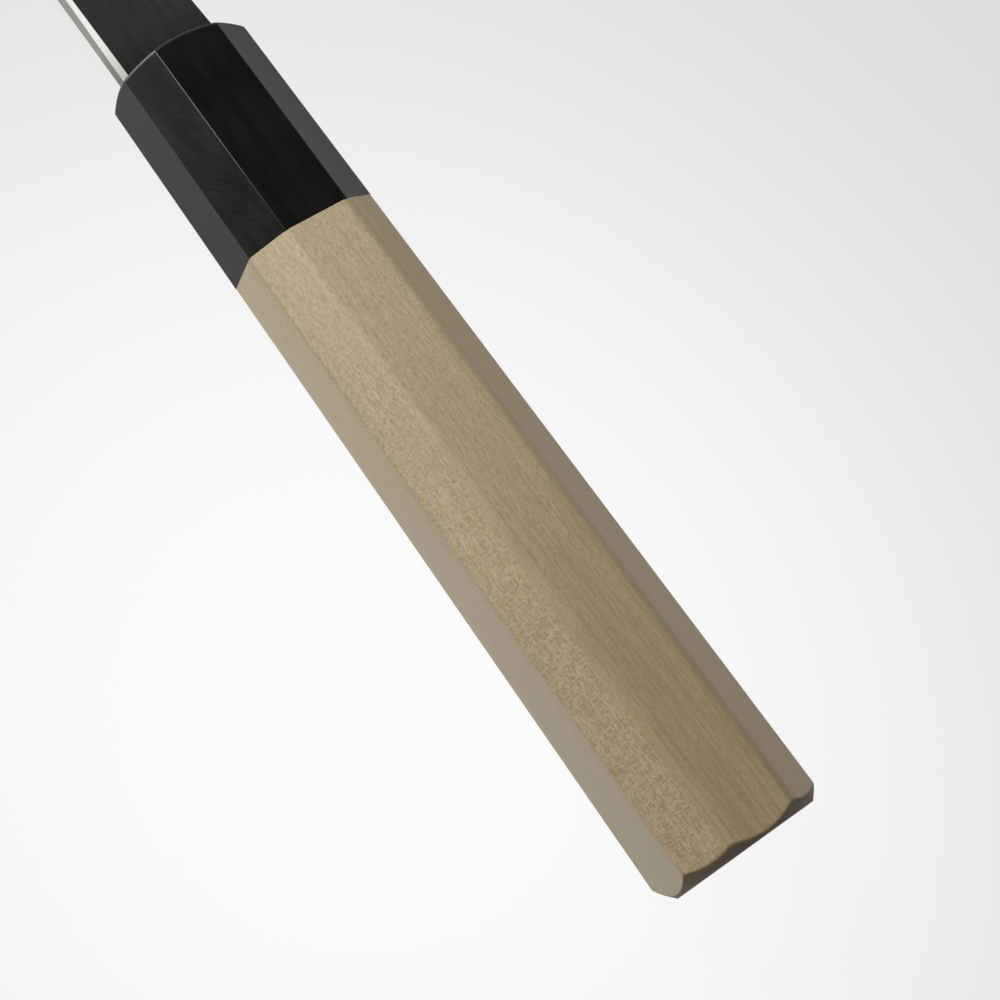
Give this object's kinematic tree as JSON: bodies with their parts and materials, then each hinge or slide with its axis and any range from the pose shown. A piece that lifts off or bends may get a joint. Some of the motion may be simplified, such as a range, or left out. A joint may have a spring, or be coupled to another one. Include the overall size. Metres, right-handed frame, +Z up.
{
  "type": "sujihiki knife",
  "caption": "Long slender slicing knife: polished double-bevel blade with a tang bedded in a tapered octagonal handle of pale wood behind a black horn ferrule.",
  "frame": {"origin": "middle of the footprint, on the surface that the knife lies on", "axes": "+X towards the tip, +Y towards the spine, +Z up through the right side of the blade; the knife leans nose down about 1.6 degrees, on the ferrule's front edge and the tip"},
  "size_m": [0.428, 0.0404, 0.022],
  "materials": {
    "pale_wood": "fine-sanded, unvarnished",
    "black_horn": "polished horn",
    "polished_steel": "polished, fine lengthwise lines",
    "bedding_resin": "set resin",
    "seal_wax": "dark sealing wax"
  },
  "bodies": {
    "root": {"handle_body": "pale_wood", "ferrule": "black_horn", "blade": "polished_steel", "tang_bedding": "bedding_resin", "mouth_seal": "seal_wax"}
  },
  "joints": []
}
